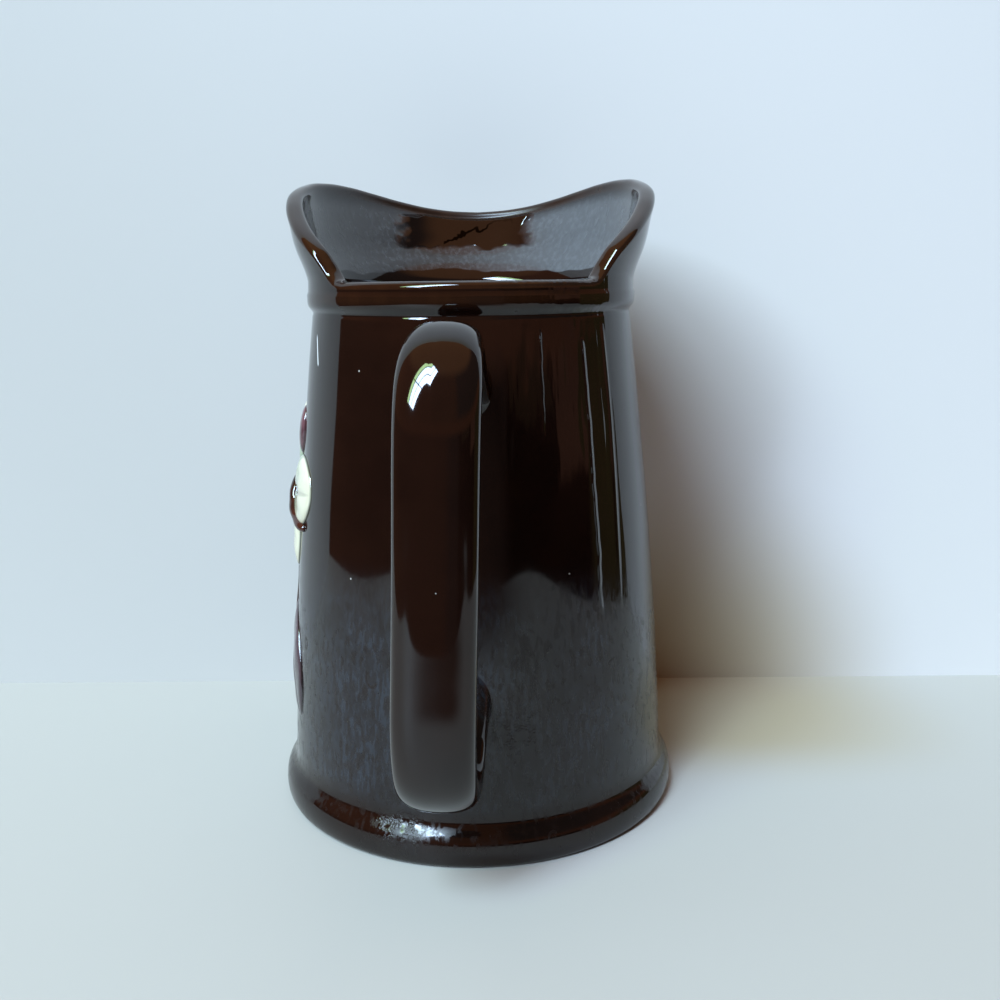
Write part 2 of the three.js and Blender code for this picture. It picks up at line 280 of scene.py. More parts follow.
def collar_rows(shares, inwards):
    """Rows at shares of the way from the collar's start to the local edge, moved inwards."""
    z = COLLAR_START + (edge - COLLAR_START) * shares[:, None]
    return np.stack([collar_skin(z) - inwards, z])


def rim_rows(turns):
    """Half an oval over the edge: radius falls with the cosine and height grows with the sine."""
    turns = turns[:, None]
    half = COLLAR_THICKNESS / 2
    across = np.sign(np.cos(turns)) * np.abs(np.cos(turns)) ** 0.8
    radius = collar_skin(edge) - half + half * across
    return np.stack([radius, edge + RIM_ROUNDING * np.abs(np.sin(turns)) ** 0.85])


inner_z = np.linspace(160, FLOOR_THICKNESS + INNER_CORNER, 30)
corner = np.radians(np.linspace(0, 90, 14))[1:]
corner_top = wall_radius(FLOOR_THICKNESS + INNER_CORNER) - WALL_THICKNESS
inside = np.vstack([
    np.stack([wall_radius(inner_z) - WALL_THICKNESS, inner_z], axis=1),
    np.stack([
        corner_top - INNER_CORNER * (1 - np.cos(corner)),
        FLOOR_THICKNESS + INNER_CORNER * (1 - np.sin(corner)),
    ], axis=1),
    [(30, FLOOR_THICKNESS), (15, FLOOR_THICKNESS), (2, FLOOR_THICKNESS)],
])
up = np.linspace(0, 1, 36)
down = up[::-1]
thinner_half_way = COLLAR_THICKNESS - COLLAR_HOLLOW * np.sin(np.pi * down**1.2)[:, None]
sections = [
    fixed_rows(profile, 1.0),
    collar_rows(up, 0.0),
    rim_rows(np.radians(np.linspace(0, 180, 22))[1:-1]),
    collar_rows(down, thinner_half_way),
    fixed_rows(inside, 0.4),
]
radius, height = np.concatenate(sections, axis=1)
body_rings = np.stack([radius * np.sin(angle), -radius * np.cos(angle), height], axis=2)
starts = np.cumsum([0] + [s.shape[1] for s in sections])
row_number = np.arange(len(height))[:, None]
print("body rows:", len(height), "and columns:", COLUMNS)

# %% [markdown]
# Glaze runs off edges while it melts and pools in hollows, so it is thin and reddish on the rim, the band and
# the foot ring. A mark per vertex says how thin it is, how far inside it lies and where the clay is bare.

# %% Body marks and mesh
on_rim = (row_number >= starts[2] - 2) & (row_number < starts[3] + 2)
thin = np.where(on_rim, 1.0, 0.0) + np.zeros_like(height)
outside_rows = row_number < starts[2]
thin = thin + outside_rows * np.exp(-(((height - 163.2) / 1.7) ** 2)) * 0.75
thin = np.clip(thin, 0, 1)
inner = ease((row_number - starts[3]) / 6.0) + np.zeros_like(height)
bare = (row_number < 25) * 1.0 + np.zeros_like(height)
body = skin("pitcher_body", body_rings, thin=thin, inner=inner, bare=bare)

# %% [markdown]
# ## The strap handle
#
# A strap is a flat oval carried along a bent line. Where it meets the wall the potter smooths the joint with
# a wet finger, which leaves a small hollow curve. Here each side of the strap ends in a curved fillet: it
# starts along the strap, bends at the corner where strap and wall would meet, and ends flat on the wall.

# %% Handle path
RISING_BENDS = [(0.088, 0.08), (0.258, 0.55), (0.479, 1)]
GRIP_BENDS = [(0.703, 0.972), (0.832, 0.892), (0.883, 0.778), (0.918, 0.549), (0.975, 0.311), (1, 0.184)]
RETURN_BENDS = [(0.907, 0.069), (0.669, 0), (0.436, 0.005)]
LAST_BENDS = [(0.245, 0.64), (0.11, 0.95)]
upper_root = wall_radius(UPPER_ROOT_Z) - ROOT_DEPTH
lower_root = wall_radius(LOWER_ROOT_Z) - ROOT_DEPTH


def bends(shares, wall, low, high):
    """Places [y, z], from shares of the way from the wall to the reach and of the way from low to high."""
    out, up = np.asarray(shares, float).T
    return np.stack([-(wall + (HANDLE_REACH - wall) * out), low + (high - low) * up], axis=1)


handle_path = np.vstack([
    [(-upper_root, UPPER_ROOT_Z)],
    bends(RISING_BENDS, upper_root, UPPER_ROOT_Z, HANDLE_TOP),
    bends(GRIP_BENDS, upper_root, HANDLE_BOTTOM, HANDLE_TOP),
    bends(RETURN_BENDS, lower_root, HANDLE_BOTTOM, HANDLE_TOP),
    bends(LAST_BENDS, lower_root, HANDLE_BOTTOM, LOWER_ROOT_Z),
    [(-lower_root, LOWER_ROOT_Z)],
])
line = path_through(handle_path, 360)
kernel = np.hanning(25)
kernel = kernel / kernel.sum()
padded = np.vstack([2 * line[0] - line[12:0:-1], line, 2 * line[-1] - line[-2:-14:-1]])
line = np.stack([np.convolve(padded[:, k], kernel, "valid") for k in range(2)], axis=1)
tangent = np.gradient(line, axis=0)
tangent = tangent / np.linalg.norm(tangent, axis=1)[:, None]
outward = np.stack([tangent[:, 1], -tangent[:, 0]], axis=1)
travelled = np.concatenate([[0], np.cumsum(np.linalg.norm(np.diff(line, axis=0), axis=1))])
print("strap length along its middle:", round(float(travelled[-1]), 1), "mm")

# %% Handle grid
AROUND = 112
turn = np.arange(AROUND) / AROUND * 2 * np.pi
width = HANDLE_WIDTH + (SHOULDER_WIDTH - HANDLE_WIDTH) * (1 - ease((travelled - 24) / 26))
to_end = np.minimum(travelled, travelled[-1] - travelled)
bend = 1 - ease((to_end - 24) / 26)


def strap_section(at):
    """An oval with flattened faces: cosine and sine to a power times half the width and half the thickness.
    The outer face is a little more domed than the inner one, and the whole is rounder in the bends."""
    c, s = np.cos(turn)[None, :], np.sin(turn)[None, :]
    round_off = 0.12 + 0.2 * bend[at][:, None]
    across = -np.sign(c) * np.abs(c) ** (2 / (2.65 - round_off)) * width[at][:, None] / 2
    power = np.where(s > 0, 2 / (2.45 - round_off), 2 / (3.1 - round_off))
    out = np.sign(s) * np.abs(s) ** power * HANDLE_THICKNESS / 2
    return across, out


def strap_rings(at):
    """Rings of the strap at the given steps of its path: x across, then y and z from the outward way."""
    across, out = strap_section(at)
    y = line[at, 0][:, None] + outward[at, 0][:, None] * out
    z = line[at, 1][:, None] + outward[at, 1][:, None] * out
    return np.stack([across, y, z], axis=2)


def wall_y(x, z):
    """Where the wall lies at a place: minus the root of the radius squared less x squared."""
    return -np.sqrt(wall_radius(z) ** 2 - x**2)


def fillet(start_at, end_at, steps, sideways, outer, inner):
    """Rings of the joint. For each side, (1-t)^2 S + 2t(1-t) K + t^2 W, where S is on the strap, K is the
    corner straight on from S on the wall, and W lies on the wall, spread away from the strap's middle."""
    s = strap_rings(np.array([start_at]))[0]
    end = line[end_at]
    facing = outward[end_at, 1]
    across, out = strap_section(np.array([end_at]))
    kx, kz = across[0], end[1] + out[0] * facing
    corner = np.stack([kx, wall_y(kx, kz), kz], axis=1)
    rise = np.sin(turn)
    wx = kx - sideways * np.cos(turn)
    wz = kz + facing * np.where(rise > 0, outer, inner) * rise
    foot_ring = np.stack([wx, wall_y(wx, wz) + 0.25, wz], axis=1)
    t = np.linspace(0, 1, steps)[:, None, None]
    return (1 - t) ** 2 * s + 2 * t * (1 - t) * corner + t**2 * foot_ring


top_start = int(np.searchsorted(travelled, 11.5))
low_start = int(np.searchsorted(travelled, travelled[-1] - 14.5))
rings = np.concatenate([
    fillet(top_start, 0, 26, 0.7, 5.0, 5.5)[::-1],
    strap_rings(np.arange(top_start + 1, low_start)),
    fillet(low_start, len(line) - 1, 30, 0.7, 6.5, 9.5),
])
along = np.linspace(0, 1, len(rings))[:, None]
print("handle rings:", len(rings))

# %% Handle placed on the body
seam_bell = np.exp(-(((turn - np.pi / 2) / 0.045) ** 2))[None, :]
seam_share = ease((along - 0.12) / 0.05) * ease((0.55 - along) / 0.1)
rings[:, :, 1] = rings[:, :, 1] - SEAM_HEIGHT * seam_bell * seam_share
lean, swing = math.radians(HANDLE_LEAN), math.radians(HANDLE_TURN)
x, y, z = rings[:, :, 0], rings[:, :, 1], rings[:, :, 2] - FLOWER_Z
x, z = x * math.cos(lean) + z * math.sin(lean), z * math.cos(lean) - x * math.sin(lean) + FLOWER_Z
x, y = x * math.cos(swing) - y * math.sin(swing), x * math.sin(swing) + y * math.cos(swing)
edge_thin = np.abs(np.cos(turn))[None, :] ** 6 * 0.5 + np.zeros_like(x)
handle = skin("pitcher_handle", np.stack([x, y, z], axis=2), thin=edge_thin, inner=0.0 * x, bare=0.0 * x)

# %% [markdown]
# ## The flower spray
#
# Only its edge shows from the handle's side, so the spray is a plain bouquet of its own: five petals round a
# heart, buds, long leaves, a stem and a brown twig. Each leaf is a pointed oval pressed on the wall. Working
# on the wall's own flat map, u along the wall and z up, keeps every piece at its height over the clay.

# %% Relief helpers
def on_wall(u, z, out):
    """The place over the wall at a distance u round it, a height z and a height over the glaze."""
    angle = math.radians(-90) + u / wall_radius(z)
    radius = wall_radius(z) + out
    return np.stack([radius * np.sin(angle), -radius * np.cos(angle), z], axis=-1)


def leaf(name, u, z, length, width, turned, tall, vein=0.35, ripple=0.0, bend=0.0):
    """A sphere pressed flat: latitude runs along the leaf and longitude across. Height over the wall is the
    sine of the longitude to the power 0.6 times the height, less a groove down the middle and ripples."""
    lat = np.linspace(-np.pi / 2, np.pi / 2, 74)[1:-1, None]
    lon = (np.arange(96) / 96 * 2 * np.pi)[None, :]
    along = np.sin(lat) + 0 * lon
    side = np.cos(lat) * np.cos(lon)
    up = np.cos(lat) * np.sin(lon)
    taper = (1 - along**2) ** 0.12
    reach = np.where(np.cos(lat) > 1e-6, side / np.cos(lat), 0)
    groove = vein * np.exp(-((reach / 0.13) ** 2)) * np.clip(1 - np.abs(along), 0, 1)
    waves = ripple * np.cos(9 * along - 5 * np.abs(reach)) * np.clip(1 - along**2, 0, 1)
    top = np.sign(up) * np.abs(up) ** 0.6 * (tall + 0.8)
    top = top * (1 + 0.12 * np.abs(reach)) - groove - waves
    out = np.where(up > 0, top, up * 0.8) * taper - 0.8
    a = math.radians(turned)
    forward = along * length / 2
    sideways = side * width / 2 * taper + bend * (1 - along**2)
    places = on_wall(
        u + forward * math.sin(a) + sideways * math.cos(a),
        z + forward * math.cos(a) - sideways * math.sin(a),
        out,
    )
    return skin(name, places, along=along, reach=reach, up=np.clip(out / tall, 0, 1))


def twig(name, points, thick, sides=40, count=120):
    """A ridge along a path on the wall: half a circle over the path's middle, sunk in the wall below, with
    ends rounded by the root of 1 - t^2 and knots from a slow sine."""
    path = path_through(points, count)
    ahead = np.gradient(path[:, :2], axis=0)
    ahead = ahead / np.linalg.norm(ahead, axis=1)[:, None]
    t = np.linspace(-1, 1, count)
    swell = (1 - np.abs(t) ** 6) ** 0.5 * (1 + 0.07 * np.sin(t * 7 + 1) + 0.04 * np.sin(t * 12))
    turn = (np.arange(sides) / sides * 2 * np.pi)[None, :]
    across = np.cos(turn) * thick * swell[:, None]
    lift = np.sin(turn) * thick * swell[:, None]
    middle = path[:, 2:3]
    out = np.where(lift > 0, middle + lift, (1 + np.sin(turn)) * middle + np.sin(turn) * 0.8)
    u = path[:, :1] + ahead[:, 1:2] * across
    z = path[:, 1:2] - ahead[:, 0:1] * across
    return skin(name, on_wall(u, z, out), along=t[:, None], reach=np.cos(turn), up=np.clip(out / 3, 0, 1))


print("the flower's middle on the wall, in mm:", on_wall(0, FLOWER_Z, 0).round(1))

# %% Petals, leaves, buds and twigs
PETAL_TURNS = [346, 90, 162, 234, 306]
PETAL_RING = 15.0
petals = []
for number, turned in enumerate(PETAL_TURNS, start=1):
    a = math.radians(turned)
    petal_u, petal_z = PETAL_RING * math.sin(a), FLOWER_Z + PETAL_RING * math.cos(a)
    petals.append(leaf(f"petal_{number}", petal_u, petal_z, 28, 23, turned, 2.3, 0.5, 0.12, 0.8))
heart = leaf("flower_heart", 0, FLOWER_Z, 14, 14, 0, 3.0, 0.0, 0.25)
buds = [
    leaf("bud_near", 7, 121.5, 17, 10.5, 8, 1.8, 0.25),
    leaf("bud_far", -17, 131, 18, 11, -30, 1.8, 0.25),
]
long_leaves = [
    leaf("long_leaf_near", 14, 47.5, 42, 14, -32, 1.4, 0.6, 0.1, 1.5),
    leaf("long_leaf_far", -15, 46, 44, 14, 32, 2.0, 0.6, 0.1, -1.5),
    leaf("small_leaf", -29, 76, 23, 12, -48, 1.8, 0.5, 0.1),
]
twig_path = [
    (4, 107.5, 0), (6.5, 105.5, 1.4), (9, 102.5, 2.2), (11, 99, 2.2),
    (14, 95.8, 1.7), (18, 93.4, 1), (23, 91.8, 0),
]
stem_path = [(0, 96, 0.2), (-1.5, 72, 0.2), (0.5, 52, 0.2), (0, 30, 0)]
brown_twigs = [twig("twig", twig_path, 1.8), twig("stem", stem_path, 1.5)]
pieces = [body, handle, *petals, heart, *buds, *long_leaves, *brown_twigs]
for piece in pieces:
    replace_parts(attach(piece, "root"), "pitcher")
print(len(pieces), "pieces")

# %% [markdown]
# ## Writing shader maths as plain sums
#
# A glaze is many small maps multiplied and mixed. With a class that stands for a socket and knows plus, minus
# and times, `1 - mask * 0.5` adds its own Math nodes, and the recipe can be read.

# %% Sockets with operators
class Wire:
    """The output socket of a node, with sums that add Math nodes to its material."""

    def __init__(self, finish, socket):
        self.finish = finish
        self.socket = socket

    def maths(self, operation, *others):
        values = dict(enumerate((self, *others)))
        return self.finish.node("ShaderNodeMath", {"operation": operation}, values)

    def __add__(self, other):
        return self.maths("ADD", other)

    def __sub__(self, other):
        return self.maths("SUBTRACT", other)

    def __rsub__(self, other):
        return self.finish.node("ShaderNodeMath", {"operation": "SUBTRACT"}, {0: other, 1: self})

    def __mul__(self, other):
        return self.maths("MULTIPLY", other)

    def __pow__(self, other):
        return self.maths("POWER", other)

    __radd__ = __add__
    __rmul__ = __mul__

    def between(self, low, high):
        """0 at the low value, 1 at the high one, eased, and clamped outside."""
        ends = {"Value": self, "From Min": low, "From Max": high}
        return self.finish.node("ShaderNodeMapRange", {"interpolation_type": "SMOOTHSTEP"}, ends)


class Finish:
    """The nodes of a material, or of the surroundings."""

    def __init__(self, owner):
        owner.use_nodes = True
        self.owner = owner
        self.tree = owner.node_tree
        self.tree.nodes.clear()

    def node(self, kind, settings=None, sockets=None, out=0):
        """A new node: its settings are set first, then its sockets get a value or a wire."""
        made = self.tree.nodes.new(kind)
        for key, value in (settings or {}).items():
            setattr(made, key, value)
        for key, value in (sockets or {}).items():
            if isinstance(value, Wire):
                self.tree.links.new(value.socket, made.inputs[key])
            else:
                made.inputs[key].default_value = value
        return made if out is None else Wire(self, made.outputs[out])

    def mark(self, name):
        return self.node("ShaderNodeAttribute", {"attribute_name": name}, out="Fac")

    def place(self, scale=(1, 1, 1)):
        """Object coordinates in millimetres, stretched."""
        here = self.node("ShaderNodeTexCoord", out="Object")
        size = tuple(1000 * s for s in scale)
        return self.node("ShaderNodeVectorMath", {"operation": "MULTIPLY"}, {0: here, 1: size})

    def parts(self, vector=None):
        """The x, y and z of a vector, or of the place in millimetres."""
        made = self.node("ShaderNodeSeparateXYZ", {}, {0: vector or self.place()}, out=None)
        return [Wire(self, made.outputs[k]) for k in "XYZ"]

    def noise(self, size, scale=(1, 1, 1), detail=3):
        """Noise whose lumps are about size millimetres."""
        sockets = {"Vector": self.place(scale), "Scale": 1 / size, "Detail": detail}
        return self.node("ShaderNodeTexNoise", {}, sockets)

    def near(self, point, reach):
        """1 at a place in millimetres, easing to 0 at the reach."""
        ends = {0: self.place(), 1: point}
        gap = self.node("ShaderNodeVectorMath", {"operation": "DISTANCE"}, ends, out="Value")
        return gap.between(reach, reach * 0.25)

    def mix(self, first, second, amount):
        """A blend of two colours."""
        colours = {}
        for key, value in ((6, first), (7, second)):
            colours[key] = value if isinstance(value, Wire) else (*value, 1)
        return self.node("ShaderNodeMix", {"data_type": "RGBA"}, {0: amount, **colours}, out=2)

    def bump(self, height, distance, strength=1.0, after=None):
        links = {"Height": height, "Distance": distance, "Strength": strength}
        if after is not None:
            links["Normal"] = after
        return self.node("ShaderNodeBump", {}, links)

    def surface(self, **sockets):
        names = {key.replace("_", " "): value for key, value in sockets.items()}
        shader = self.node("ShaderNodeBsdfPrincipled", {}, names, out="BSDF")
        self.node("ShaderNodeOutputMaterial", {}, {"Surface": shader}, out=None)
        return self.owner


def finish_of(name):
    return Finish(bpy.data.materials.new(name))


print("shader helpers ready")

# %% [markdown]
# ## The treacle-brown glaze
#
# The glaze is nearly black where it is thick and a warm red-brown where it is thin. On the lower wall dried
# washing water has left a thin film with spots, drips and rings, and two patches where the glaze has crystals
# like sugar. Each of these is a mask from 0 to 1, worked out by a function of its own.

# %% Masks on the outside
def drop_marks(f):
    """Dried drops: soft spots and drips from stretched noise, and rings round the middles of cells."""
    spots = f.noise(2.0, (1, 1, 0.5), 5).between(0.5, 0.62)
    drips = f.noise(2.0, (1, 1, 0.18), 3).between(0.52, 0.64)
    cells = f.node("ShaderNodeTexVoronoi", {}, {"Vector": f.place((1, 1, 0.8)), "Scale": 1 / 15})
    ring = cells.between(0.09, 0.12) * cells.between(0.17, 0.14) * f.noise(9).between(0.5, 0.56)
    return spots, drips, ring


def sugar_patches(f, ragged):
    """Patches of fine crystals: at the foot on the left, by the handle's lower joint, and a faint one."""
    foot = f.near((-21.0, -60.0, 9.5), 12.0) * ragged.between(0.42, 0.54)
    joint = f.near((13.0, -59.0, 40.0), 11.0) * ragged.between(0.42, 0.55)
    faint = f.near((-29.0, -53.0, 29.0), 15.0) * ragged.between(0.48, 0.6) * 0.5
    return foot.maths("MAXIMUM", joint).maths("MAXIMUM", faint)


def glaze_runs(f, round_it, height):
    """Thin ridges where glaze ran down: 1 within a fraction of a degree of a wavering upright line."""
    waver = f.noise(14, (0.3, 0.3, 1), 2) * 3.2 - 1.6
    first = (round_it - 41.6 + height * 0.02 - 1.6 + waver * 0.7).maths("ABSOLUTE")
    second = (round_it - 24.0 + waver).maths("ABSOLUTE")
    line = first.between(0.9, 0.1) * height.between(70, 82) * height.between(152, 146)
    upper = second.between(0.5, 0.1) * height.between(124, 134) * height.between(155, 150)
    return line.maths("MAXIMUM", upper * 0.6)


print("outside masks: drop marks, sugar patches and glaze runs")

# %% [markdown]
# Inside the collar the same water has left a grey-blue film, painted lighter towards the right: painted light
# where the lamp falls. It stops at a wavy line above the neck. One patch is left clean, with sharp, bent
# edges
# and a dark line across it: a painted reflection, whose bare glaze also mirrors the dim brown above.

# %% Masks inside the collar
def collar_film(f, x, height, inner):
    """The film: 1 above a wavy line, painted lighter to the right as painted light, with fine arcs and a
    clean patch in the shape of a painted reflection. The patch is also a thicker drop of glaze, so its height
    grows with z.
    A thin dark line rises across it, part of the painted reflection."""
    slow = f.noise(16, (1, 1, 0.4), 2) - 0.5
    waver = f.noise(8, (1, 1, 1.2), 1) - 0.5
    above_line = (height + slow * 5.0).between(171.0, 171.5)
    side = (x + waver * 9.0).between(-29.5, -23.5) * (x + waver * 12.0).between(21.5, 15.5)
    tall = (height + waver * 7.0).between(179.0, 180.4) * (height + waver * 3.0).between(192.4, 191.2)
    patch = side * tall
    arcs = f.noise(1.5, (1, 1, 0.6), 5).between(0.4, 0.75)
    amount = 0.06 + x.between(-16, 38) * 0.46 + arcs * 0.22
    level = height - 186.0 - x * 0.3 + (f.noise(5, (1, 1, 0.2), 2) - 0.5) * 8.0
    painted_reflection_line = level.maths("ABSOLUTE").between(0.75, 0.4)
    painted_reflection_line = painted_reflection_line * (x + waver * 2).between(-12.6, -12) * (x + waver * 2).between(13, 12.4)
    patch = patch * inner.between(0.02, 0.15)
    film = inner * above_line * (1 - patch)
    drop = patch * (height - 179.0) * 0.16
    return film * amount, film, painted_reflection_line * inner, drop


print("inside masks: film, covered, trickle and drop")

# %% [markdown]
# The clay body shows bare under the foot. Colour, roughness and small bumps are then put together from the
# masks. Over the dull film the glaze's own gloss still shows, as a coat, and the dark line of the painted
# reflection mirrors nothing, as a nearly black metal would.

# %% Brown glaze
def brown_glaze():
    f = finish_of("treacle brown glaze")
    thin, inner, bare = f.mark("thin"), f.mark("inner"), f.mark("bare")
    x, y, height = f.parts()
    round_it = x.maths("ARCTAN2", y * -1.0) * math.degrees(1)
    cloud = f.noise(16, detail=4)
    streak = f.noise(5, (1, 1, 0.12), 3).between(0.45, 0.75)
    spots, drips, ring = drop_marks(f)
    on_body = (x**2 + y**2).between(69.0**2, 66.5**2) * (1 - inner)
    washed = height.between(90, 60) * on_body
    fine = f.noise(1.1, (1, 1, 0.3), 5).between(0.4, 0.62)
    patchy = (0.5 + 0.5 * cloud.between(0.35, 0.6)) * (0.35 + 0.65 * fine)
    haze = washed * height.between(13, 20) * patchy
    clear = washed * (spots * 0.7).maths("MAXIMUM", ring).maths("MAXIMUM", drips * 0.6)
    sugar = sugar_patches(f, f.noise(2.6, detail=4))
    film, covered, painted_reflection_line, drop = collar_film(f, x, height, inner)

    colour = f.mix((0.0055, 0.002, 0.0014), (0.0085, 0.003, 0.0019), cloud.between(0.3, 0.7))
    colour = f.mix(colour, (0.03, 0.0105, 0.004), thin * 0.8 * (0.6 + 0.4 * streak))
    colour = f.mix(colour, (0.021, 0.024, 0.032), haze * (1 - clear * 0.9))
    # Painted light: the film is lighter towards the right, where the lamp falls. The clean patch is a painted
    # reflection.
    colour = f.mix(colour, (0.13, 0.14, 0.155), film)
    # Painted reflection: the dark line across the clean patch.
    colour = f.mix(colour, (0.003, 0.0015, 0.001), painted_reflection_line)
    pin = f.node("ShaderNodeTexVoronoi", {}, {"Vector": f.place(), "Scale": 1 / 11.0})
    colour = f.mix(colour, (0.5, 0.48, 0.45), pin.between(0.034, 0.02) * 0.85)
    # A short whitish streak on the wall left of the handle's top: a painted highlight of the lamp.
    painted_highlight_streak = (round_it + 61.4 + (height - 144.5) * 0.35).maths("ABSOLUTE").between(0.7, 0.25)
    painted_highlight_streak = painted_highlight_streak * height.between(143, 144) * height.between(153, 151) * (1 - inner)
    colour = f.mix(colour, (0.7, 0.72, 0.72), painted_highlight_streak)
    clay = f.mix((0.42, 0.33, 0.24), (0.3, 0.22, 0.15), f.noise(2.5, detail=5))
    colour = f.mix(colour, clay, bare)

    dull_foot = f.near((-16.0, -61.0, 10.0), 22.0) * height.between(15.5, 13)
    dull_edge = thin * y.between(25, 50) * height.between(160, 170)
    rough = 0.045 + haze * 0.05 + clear * 0.32 + covered * 0.22 + 0.02 * streak + sugar * 0.03 + bare * 0.6
    rough = rough + dull_foot * (1 - sugar * 0.7) * 0.07 + dull_edge * 0.3
    bump = f.bump(f.noise(13, (1, 1, 0.5), 1), 0.0001, 0.5)
    bump = f.bump(drop, 0.001, 1.0, bump)
    curtain = round_it.between(8, 16) * round_it.between(56, 46) * height.between(100, 135) * (1 - inner)
    bump = f.bump(f.noise(6, (1, 1, 0.09), 2), 0.0011, curtain * 0.8, bump)
    bump = f.bump(glaze_runs(f, round_it, height) * (1 - inner), 0.0013, 1.0, bump)
    bump = f.bump(f.noise(0.6, detail=4), 0.0003, sugar, bump)
    return f.surface(
        Base_Color=colour,
        Roughness=rough,
        Metallic=painted_reflection_line * 0.9,
        IOR=1.5,
        Normal=bump,
        Coat_Weight=covered * 0.5,
        Coat_Roughness=0.02,
    )


glaze = brown_glaze()
body.data.materials.append(glaze)
handle.data.materials.append(glaze)
print("glaze nodes:", len(glaze.node_tree.nodes))

# %% [markdown]
# ## The painted relief
#
# The spray is painted under a clear glaze: cream petals shaded to pale green with dark outlines, dull red
# buds and heart, pink-brown leaves and a brown twig. Paint settles in grooves and along edges, so the marks
# along and across each leaf steer it.

# %% Painted glazes
def painted(name, pale, deep, line_colour, line=0.6, tint=None, vein_share=0.8):
    f = finish_of(name)
    along = f.mark("along")
    reach = f.mark("reach").maths("ABSOLUTE")
    up = f.mark("up")
    cloud = f.noise(5, detail=4)
    colour = f.mix(pale, deep, (along * -0.35 + cloud).between(0.35, 0.75))
    if tint is not None:
        colour = f.mix(colour, tint, f.noise(6, detail=2).between(0.56, 0.66) * along.between(0.1, -0.6))
    vein = reach.between(0.12, 0.03) * (1 - along.maths("ABSOLUTE")).between(0.0, 0.3)
    edge = up.between(0.3, 0.02)
    colour = f.mix(colour, line_colour, (vein * vein_share).maths("MAXIMUM", edge) * line)
    return f.surface(
        Base_Color=colour,
        Roughness=0.09 + 0.06 * cloud,
        IOR=1.5,
        Normal=f.bump(f.noise(1.4, detail=3), 0.00006, 0.5),
        Coat_Weight=0.5,
        Coat_Roughness=0.03,
    )


cream = painted(
    "cream petal glaze", (0.74, 0.7, 0.52), (0.36, 0.44, 0.3), (0.012, 0.02, 0.018), 0.9,
    tint=(0.07, 0.3, 0.27), vein_share=0.3,
)
red = painted("dull red glaze", (0.15, 0.065, 0.075), (0.07, 0.03, 0.036), (0.02, 0.008, 0.008), 0.7)
pink_brown = painted(
    "pink brown leaf glaze", (0.1, 0.068, 0.076), (0.045, 0.031, 0.036), (0.008, 0.006, 0.006), 0.9,
)
bark = painted("twig glaze", (0.05, 0.013, 0.008), (0.012, 0.005, 0.004), (0.004, 0.002, 0.002), 0.6)
for group, finish in ((petals, cream), ([heart, *buds], red), (long_leaves, pink_brown), (brown_twigs, bark)):
    for piece in group:
        piece.data.materials.append(finish)
print("painted pieces:", sum(len(g) for g in (petals, buds, long_leaves, brown_twigs)) + 1)

# %% [markdown]
# ## Camera
#
# The lens and the place were worked out from the outline: the camera stands a third of a metre from the jug,
# level with its rim, and looks twelve degrees down, which is why the foot looks wider than the rim.

# %% Camera
FOCAL_PIXELS = 1050.0
PITCH = math.radians(12.0)
ROLL = math.radians(-0.674)
ROUND = math.radians(1.0)
forward = np.array([-math.sin(ROUND) * math.cos(PITCH), math.cos(ROUND) * math.cos(PITCH), -math.sin(PITCH)])
level = np.array([math.cos(ROUND), math.sin(ROUND), 0.0])
above = np.cross(level, forward)
right = math.cos(ROLL) * level + math.sin(ROLL) * above
top = -math.sin(ROLL) * level + math.cos(ROLL) * above
ahead = np.array([-math.sin(ROUND), math.cos(ROUND), 0.0])
eye = (8.385 * level - 341.98 * ahead) * MM + np.array([0, 0, 168.92]) * MM
camera = bpy.data.objects.new("camera", bpy.data.cameras.new("camera"))
camera.data.sensor_width = 36.0
camera.data.lens = FOCAL_PIXELS / 1000 * 36.0
camera.matrix_world = Matrix([
    (right[0], top[0], -forward[0], eye[0]),
    (right[1], top[1], -forward[1], eye[1]),
    (right[2], top[2], -forward[2], eye[2]),
    (0, 0, 0, 1),
])
bpy.context.collection.objects.link(camera)
bpy.context.scene.camera = camera
print("camera at", eye.round(3))

# %% [markdown]
# ## Table, wall and soft lamp
#
# A glossy glaze shows what stands round it more than itself. The pale table runs two thirds of a metre
# forward, the pale wall stands just behind, and one large soft lamp with dark bars across it hangs high on
# the left behind the camera. Everything further away is dim and brown. Both sheets are clear from behind, so
# that other views aren't blocked.

# %% Stage
def sheet_of(name, corners, finish):
    mesh = bpy.data.meshes.new(name)
    mesh.from_pydata(corners, [], [tuple(range(len(corners)))])
    mesh.materials.append(finish)
    made = bpy.data.objects.new(name, mesh)
    bpy.context.collection.objects.link(made)
    return made


def stage_finish(name, low, high, fade, rough):
    """Paint that fades from one colour to another by a mask, carries a painted shadow, darker and warmer,
    round the place where the jug's shadow falls, is warmer and darker high up, and is clear from behind."""
    f = finish_of(name)
    x, y, z = f.parts()
    # Painted shadow: the paint turns darker and warmer round the jug's shadow on the table and the wall.
    painted_shadow_and_warm_top = f.near((88.0, 50.0, 0.0), 106.0) * y.between(-20, 25)
    painted_shadow_and_warm_top = painted_shadow_and_warm_top.maths("MAXIMUM", z.between(420, 800) * 0.8)
    shade = f.mix(f.mix(low, high, fade(f)), (0.45, 0.385, 0.265), painted_shadow_and_warm_top)
    sockets = {"Base Color": shade, "Roughness": rough, "Specular IOR Level": 0.2}
    paint = f.node("ShaderNodeBsdfPrincipled", {}, sockets, out="BSDF")
    clear = f.node("ShaderNodeBsdfTransparent", out="BSDF")
    behind = f.node("ShaderNodeNewGeometry", out="Backfacing")
    both = f.node("ShaderNodeMixShader", {}, {0: behind, 1: paint, 2: clear})
    f.node("ShaderNodeOutputMaterial", {}, {"Surface": both}, out=None)
    return f.owner


